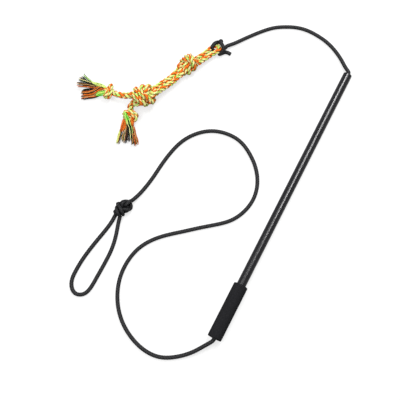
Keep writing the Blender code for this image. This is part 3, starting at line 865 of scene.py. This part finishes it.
# From one tail's end to the other there are fifteen stretches: a tail's end, its knot and its
# rope, the second knot, the rope between the knots, the first knot, the rope beside the eye, the
# fold, and the same seven the other way. A cut lies half-way between two stretches.
stretches = [*(stretch[::-1] for stretch in reversed(halves[0])), fold, *halves[1]]
given = np.concatenate(stretches)
rope_line = smooth_line(given, ROPE_STEP)
starts = np.cumsum([len(stretch) for stretch in stretches[:-1]])
share = length_along(given) / length_along(given)[-1] * (len(rope_line) - 1)
cuts = [0, *(int((share[n - 1] + share[n]) / 2) for n in starts), len(rope_line) - 1]
radii = [LEG_TIED_R, LEG_TIED_R, LEG_R, BIG_R, SHANK_R, EYE_R, EYE_R, EYE_R]
radii += radii[6::-1]
middles = [(a + b) / 2 for a, b in zip(cuts, cuts[1:])]
rope_wide = np.interp(np.arange(len(rope_line)), middles, radii)

# The cotton's colour is a yarn's own dye, with painted shade darkening it where the yarn lies in a
# furrow. The dyes are places on one scale of colours, and each row holds the yarns of one ply.
ORANGE, YELLOW, LIME = 0.08, 0.42, 0.60
YARN_DYES = [
    [ORANGE, ORANGE, ORANGE, ORANGE, YELLOW, ORANGE],
    [YELLOW, YELLOW, LIME, YELLOW, ORANGE, LIME],
    [ORANGE, ORANGE, LIME, LIME, YELLOW, YELLOW],
]
# How much of the dye's colour the painted shade in a furrow leaves, and the shares of the rope's
# half width at which a point lies at the bottom of a furrow and on the outside of a yarn.
FURROW_SHADE, FURROW_DEPTH = 0.42, (0.45, 0.88)

cotton, shader, wire = finish("cotton_yarn", Roughness=0.9, Specular_IOR_Level=0.2)
hue = wire.node("ShaderNodeAttribute", output="Fac", attribute_name="hue")
proud = wire.node("ShaderNodeAttribute", output="Fac", attribute_name="proud")
lay = wire.node("ShaderNodeAttribute", output="Vector", attribute_name="lay")
drawn = wire.node("ShaderNodeVectorMath", {0: lay, 1: (9.0, 900.0, 1.0)}, operation="MULTIPLY")
fibres = wire.node("ShaderNodeTexNoise", {"Vector": drawn, "Scale": 1.0, "Detail": 3.0})
dye = wire.node(
    "ShaderNodeValToRGB",
    {0: hue},
    stops=[
        (0.00, (0.50, 0.12, 0.03)),
        (0.08, (0.98, 0.22, 0.02)),
        (0.20, (0.98, 0.34, 0.05)),
        (0.26, (0.62, 0.36, 0.13)),
        (0.32, (1.00, 0.88, 0.30)),
        (0.46, (1.00, 0.95, 0.46)),
        (0.60, (0.62, 0.96, 0.20)),
        (0.74, (0.16, 0.86, 0.05)),
        # The last three stops are near-black dyes, painted shade for the frayed threads.
        (0.84, (0.015, 0.05, 0.025)),
        (0.92, (0.012, 0.012, 0.012)),
        (1.00, (0.10, 0.04, 0.02)),
    ],
)
# Painted shade in the furrows, times the fibres' random tone.
shade_and_fibres = (FURROW_SHADE + proud * (1.0 - FURROW_SHADE)) * (0.86 + fibres * 0.28)
colour = wire.node("ShaderNodeVectorMath", {0: dye, "Scale": shade_and_fibres}, operation="SCALE")
feed(shader, "Base Color", colour)
bump = wire.node("ShaderNodeBump", {"Height": fibres, "Strength": 0.5, "Distance": 0.0002})
feed(shader, "Normal", bump)

_, side, up = frames(rope_line)
long = length_along(rope_line)
low, high = FURROW_DEPTH
yarns = []
for ply in range(3):
    turn = math.tau * (long / ROPE_LAY + ply / 3)
    out = side * np.cos(turn)[:, None] + up * np.sin(turn)[:, None]
    middle = rope_line + out * (PLY_OUT * rope_wide)[:, None]
    for yarn in range(6):
        spin = math.tau * (YARN_TURN * long / ROPE_LAY + yarn / 6)
        out = side * np.cos(spin)[:, None] + up * np.sin(spin)[:, None]
        line = middle + out * (YARN_OUT * rope_wide)[:, None]
        rings = rings_round(line, YARN_SIDES, (YARN_R * rope_wide)[:, None])
        # Painted shade: points nearer the rope's heart, down in the furrows, get a darker colour.
        from_heart = np.linalg.norm(rings - rope_line[:, None], axis=2) / rope_wide[:, None]
        proud = np.clip((from_heart - low) / (high - low), 0, 1)
        yarns.append((rings, proud, YARN_DYES[ply][yarn]))


def rope_piece(name, *spans):
    """The rope's yarns between these pairs of cuts, as one mesh."""
    tubes, lengths, hues, prouds = [], [], [], []
    for first, last in spans:
        part = slice(cuts[first], cuts[last] + 1)
        for rings, proud, dye in yarns:
            tubes.append(rings[part])
            lengths.append(long[part])
            hues.append(np.full(rings[part].shape[:2], dye))
            prouds.append(proud[part])
    made = skin(name, tubes, cotton, lengths, hue=hues, proud=prouds)
    return made


for name, node, spans in (
    ("rope_eye", "toy_eye_rope", [(6, 9)]),
    ("rope_upper_knot", "toy_upper_knot", [(5, 6), (9, 10)]),
    (f"rope_shank_{turns[0][0]}", f"shank_rope_{turns[0][0]}", [(4, 5)]),
    (f"rope_shank_{turns[1][0]}", f"shank_rope_{turns[1][0]}", [(10, 11)]),
    ("rope_big_knot", "toy_big_knot", [(3, 4), (11, 12)]),
):
    piece = rope_piece(name, *spans)
    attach(piece, "toy")
    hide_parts(node)
for (_, tail), rope_span, knot_span in zip(turns, ((2, 3), (12, 13)), ((0, 2), (13, 15))):
    piece = rope_piece(f"rope_{tail}", rope_span)
    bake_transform(piece)
    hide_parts(f"{tail}_rope")
    piece = rope_piece(f"rope_{tail}_knot", knot_span)
    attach(piece, tail)
    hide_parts(f"{tail}_knot")


# Frayed ends. Past each tail's knot the rope is combed out into loose threads, which stick
# together in locks. Some threads are dyed dark green, brown and black, painted shade for the
# deep shadow among the loose threads.
# The dark green, black and brown dyes are painted shade.
GREEN, RUST, TAN, SHADE_BROWN, SHADE_PINE, SHADE_BLACK = 0.73, 0.03, 0.26, 1.0, 0.84, 0.91
THREAD_STEP = 0.0025
THREAD_SIDES = 5
# How far a thread sways and at how many radians to a metre, how near it comes to the surface,
# how short it may be cut, and how much farther round in its lock the next one lies.
THREAD_SWAY, SWAY_PACE = 0.0004, (180, 320)
THREAD_ABOVE = 0.0002
THREAD_SHORTEST = 0.88
THREAD_TURN = 2.4
# A lock starts this far before its first place, this high up and with this half width, in
# millimetres for the last, and it is flatter than it is wide.
FRAY_ROOT, FRAY_HIGH, LOCK_ROOT_HALF = 0.007, 0.013, 2.4
LOCK_FLAT = 0.7
LOCK_STEP = 0.001
# Where the locks of each tail are measured from, and which way they point.
FRAY_A, FRAY_A_HEADING = (0.0427, 0.1820), math.radians(103.2)
FRAY_B, FRAY_B_HEADING = (0.0163, 0.1205), math.radians(-164.1)
# Each lock in millimetres: how far ahead and to the left its three places lie, half its width
# there, the heights of the first and the last, its dyes from one side to the other, how many
# threads it has and half their thickness.
LOCKS_A = [
    ([(15.9, 2.3), (25.9, 11.6), (38.7, 18.3)], (5, 4, 3), (13, 5),
     (SHADE_BROWN, RUST, TAN), 9, 0.75),
    ([(18.7, 12.3), (35.8, 19.9), (54.2, 26.0)], (3, 4, 4.5), (9, 4),
     (SHADE_BROWN, TAN, RUST, SHADE_BLACK), 14, 0.70),
    ([(22.4, 1.7), (40.2, 6.2), (57.3, 12.8)], (3, 4.5, 5.5), (10, 4),
     (SHADE_PINE, SHADE_BLACK, SHADE_BROWN), 14, 0.65),
    ([(28.1, -5.8), (47.4, -12.0), (65.4, -22.8)], (3, 5.5, 7), (13, 4),
     (SHADE_BLACK, LIME, SHADE_PINE, SHADE_BLACK, TAN), 15, 0.60),
    ([(28.5, -4.2), (48.5, -8.6), (70.0, -10.5)], (3, 4.5, 5.5), (14, 7),
     (SHADE_BLACK, YELLOW, SHADE_PINE, SHADE_BLACK), 14, 0.60),
    ([(25.3, -1.0), (44.3, -0.7), (70.2, 1.8)], (4, 5, 6), (14, 11),
     (SHADE_BROWN, TAN, SHADE_BLACK, RUST), 17, 0.65),
    ([(15.4, -2.5), (27.4, 6.4), (56.4, 18.1)], (5, 4.4, 5), (15, 10),
     (SHADE_BROWN, RUST, TAN, SHADE_BROWN, ORANGE), 16, 0.75),
    ([(7.2, 6.9), (16.7, 10.4), (24.6, 15.8)], (5, 4.4, 2), (14, 11),
     (GREEN, LIME, GREEN), 14, 0.80),
    ([(11.5, -4.5), (26.5, -5.8), (41.3, -9.3)], (5, 5.5, 3), (15, 12),
     (LIME, YELLOW, LIME, GREEN), 16, 0.80),
]
LOCKS_B = [
    ([(24.5, -0.4), (41.9, -2.9), (57.1, -3.5)], (3, 4, 4), (10, 5),
     (SHADE_BLACK, TAN, SHADE_PINE), 11, 0.55),
    ([(24.1, 1.6), (47.1, 3.4), (61.0, 3.6)], (3, 3, 3.5), (11, 6),
     (TAN, SHADE_BROWN, SHADE_BLACK), 10, 0.60),
    ([(20.3, 3.1), (39.9, 7.9), (55.1, 12.4)], (4, 4.5, 4), (11, 8),
     (SHADE_BROWN, SHADE_BLACK, TAN), 14, 0.60),
    ([(28.3, -8.2), (46.6, -10.8), (63.6, -11.1)], (3, 3.4, 4.2), (9, 5),
     (YELLOW, LIME, TAN, SHADE_PINE), 14, 0.70),
    ([(22.1, 9.0), (42.2, 16.7), (63.6, 22.6)], (3, 4, 5), (11, 8),
     (SHADE_BROWN, TAN, SHADE_BLACK, RUST), 14, 0.65),
    ([(17.7, 9.1), (37.5, 18.7), (59.0, 28.7)], (3, 4, 5), (11, 6),
     (RUST, SHADE_BROWN, TAN, RUST), 15, 0.70),
    ([(12.8, 0.7), (28.5, 8.5), (51.5, 15.6)], (4, 4, 4.6), (17, 9),
     (SHADE_BLACK, YELLOW, SHADE_PINE, SHADE_BLACK, LIME), 16, 0.65),
    ([(1.0, 5.2), (11.4, 7.6), (23.7, 11.5)], (4, 4.4, 3), (17, 12),
     (RUST, ORANGE, ORANGE), 14, 0.80),
    ([(9.8, -6.1), (23.0, -6.8), (38.5, -9.0)], (4, 5.4, 3.2), (15, 11),
     (ORANGE, RUST, ORANGE), 17, 0.80),
    ([(1.4, -7.6), (10.5, -2.7), (23.7, 4.1)], (4, 4.8, 3), (23, 15),
     (LIME, GREEN, LIME), 16, 0.80),
]


def frayed_end(name, root, heading, locks, body, seed):
    """Loose threads that lie down in locks past a knot."""
    random = np.random.default_rng(seed)
    root = np.array((*root, 0))
    ahead = np.array((math.cos(heading), math.sin(heading), 0.0))
    left = np.array((-ahead[1], ahead[0], 0.0))
    tubes, hues, prouds = [], [], []
    for places, halves, (begin, end), dyes, threads, thick in locks:
        thick = thick / 1000
        falls = np.linspace(begin, end, 3) / 1000
        ways = [(places[0][0] / 1000 - FRAY_ROOT, places[0][1] / 2000, FRAY_HIGH)]
        ways += [(along / 1000, across / 1000, fall) for (along, across), fall in zip(places, falls)]
        spine = smooth_line(
            [root + ahead * u + left * v + np.array((0, 0, w)) for u, v, w in ways], LOCK_STEP
        )
        share = np.linspace(0, 3, len(spine))
        wide = np.interp(share, range(4), (LOCK_ROOT_HALF, *halves)) / 1000
        _, side, up = frames(spine)
        for k in range(threads):
            turn, out = k * THREAD_TURN, math.sqrt((k + 0.5) / threads)
            sway = random.uniform(0, math.tau, 2)
            sway_at = length_along(spine) * random.uniform(*SWAY_PACE)
            aside = out * math.cos(turn) * wide + THREAD_SWAY * np.sin(sway_at + sway[0])
            lifted = out * math.sin(turn) * wide * LOCK_FLAT + THREAD_SWAY * np.sin(sway_at + sway[1])
            line = spine + side * aside[:, None] + up * lifted[:, None]
            line[:, 2] = np.maximum(line[:, 2], thick + THREAD_ABOVE)
            line = line[: max(12, int(len(line) * random.uniform(THREAD_SHORTEST, 1.0)))]
            line = even(line, max(5, round(length_along(line)[-1] / THREAD_STEP)))
            taper = np.full((len(line), 1), thick)
            taper[-1] *= 0.7
            tubes.append(rings_round(line, THREAD_SIDES, taper))
            shape = tubes[-1].shape[:2]
            stripe = int((1 + out * math.cos(turn)) / 2 * len(dyes))
            hues.append(np.full(shape, np.clip(dyes[stripe] + random.normal(0, 0.015), 0, 1)))
            # Painted shade: threads low in their lock are darker, threads on top lighter.
            prouds.append(np.full(shape, np.clip(0.75 + 0.35 * math.sin(turn) * out, 0, 1)))
    made = skin(name, tubes, cotton, hue=hues, proud=prouds)
    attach(made, body)
    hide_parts(f"{body}_tassel")


frayed_end("leg_a_threads", FRAY_A, FRAY_A_HEADING, LOCKS_A, "leg_a", seed=3)
frayed_end("leg_b_threads", FRAY_B, FRAY_B_HEADING, LOCKS_B, "leg_b", seed=5)


# Tie. The cord goes under the toy's folded rope, up through its eye, over the fold and back
# round itself. Its cut end sticks out at the side. Each point of its route is how far it lies
# before the fold's outside, how far to the left of it, and its height.
FOLD_OUTSIDE = (0.2344, 0.0248)
FOLD_FACING = math.radians(-29.4)
TIE_ROUTE = [
    (0.0133, -0.0036, 0.0083),
    (0.0059, -0.0058, 0.0096),
    (0.0004, -0.0066, 0.0092),
    (-0.0046, -0.0050, 0.0062),
    (-0.0101, -0.0013, 0.0042),
    (-0.0143, 0.0027, 0.0048),
    (-0.0171, 0.0050, 0.0085),
    (-0.0185, 0.0054, 0.0140),
    (-0.0183, 0.0061, 0.0185),
    (-0.0153, 0.0077, 0.0210),
    (-0.0101, 0.0096, 0.0216),
    (-0.0052, 0.0103, 0.0200),
    (-0.0010, 0.0105, 0.0165),
    (0.0024, 0.0104, 0.0134),
    (0.0055, 0.0091, 0.0136),
    (0.0062, 0.0081, 0.0175),
    (0.0031, 0.0074, 0.0220),
    (0.0016, 0.0033, 0.0234),
    (0.0016, -0.0008, 0.0222),
    (0.0014, -0.0056, 0.0205),
    (0.0000, -0.0094, 0.0185),
    (-0.0034, -0.0113, 0.0155),
    (-0.0078, -0.0114, 0.0118),
    (-0.0103, -0.0101, 0.0078),
    (-0.0085, -0.0094, 0.0046),
    (-0.0030, -0.0102, CORD_Z),
    (0.0026, -0.0115, CORD_Z),
    (0.0060, -0.0145, CORD_Z),
    (0.0084, -0.0185, CORD_Z),
    (0.0098, -0.0216, CORD_Z),
]

c, s = math.cos(FOLD_FACING), math.sin(FOLD_FACING)
tie_points = [
    (FOLD_OUTSIDE[0] + c * u - s * v, FOLD_OUTSIDE[1] + s * u + c * v, w) for u, v, w in TIE_ROUTE
]
tie_line = smooth_line(tie_points, CORD_STEP)
tie_cord = braided("tie_cord", tie_line, among=lure_line[:-SAME_BEND])
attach(tie_cord, "lure_line")
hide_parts("tie_ring", "tie_knot", "tie_tail")

on_pole(POLE_HALF)
on_pole(-POLE_HALF)
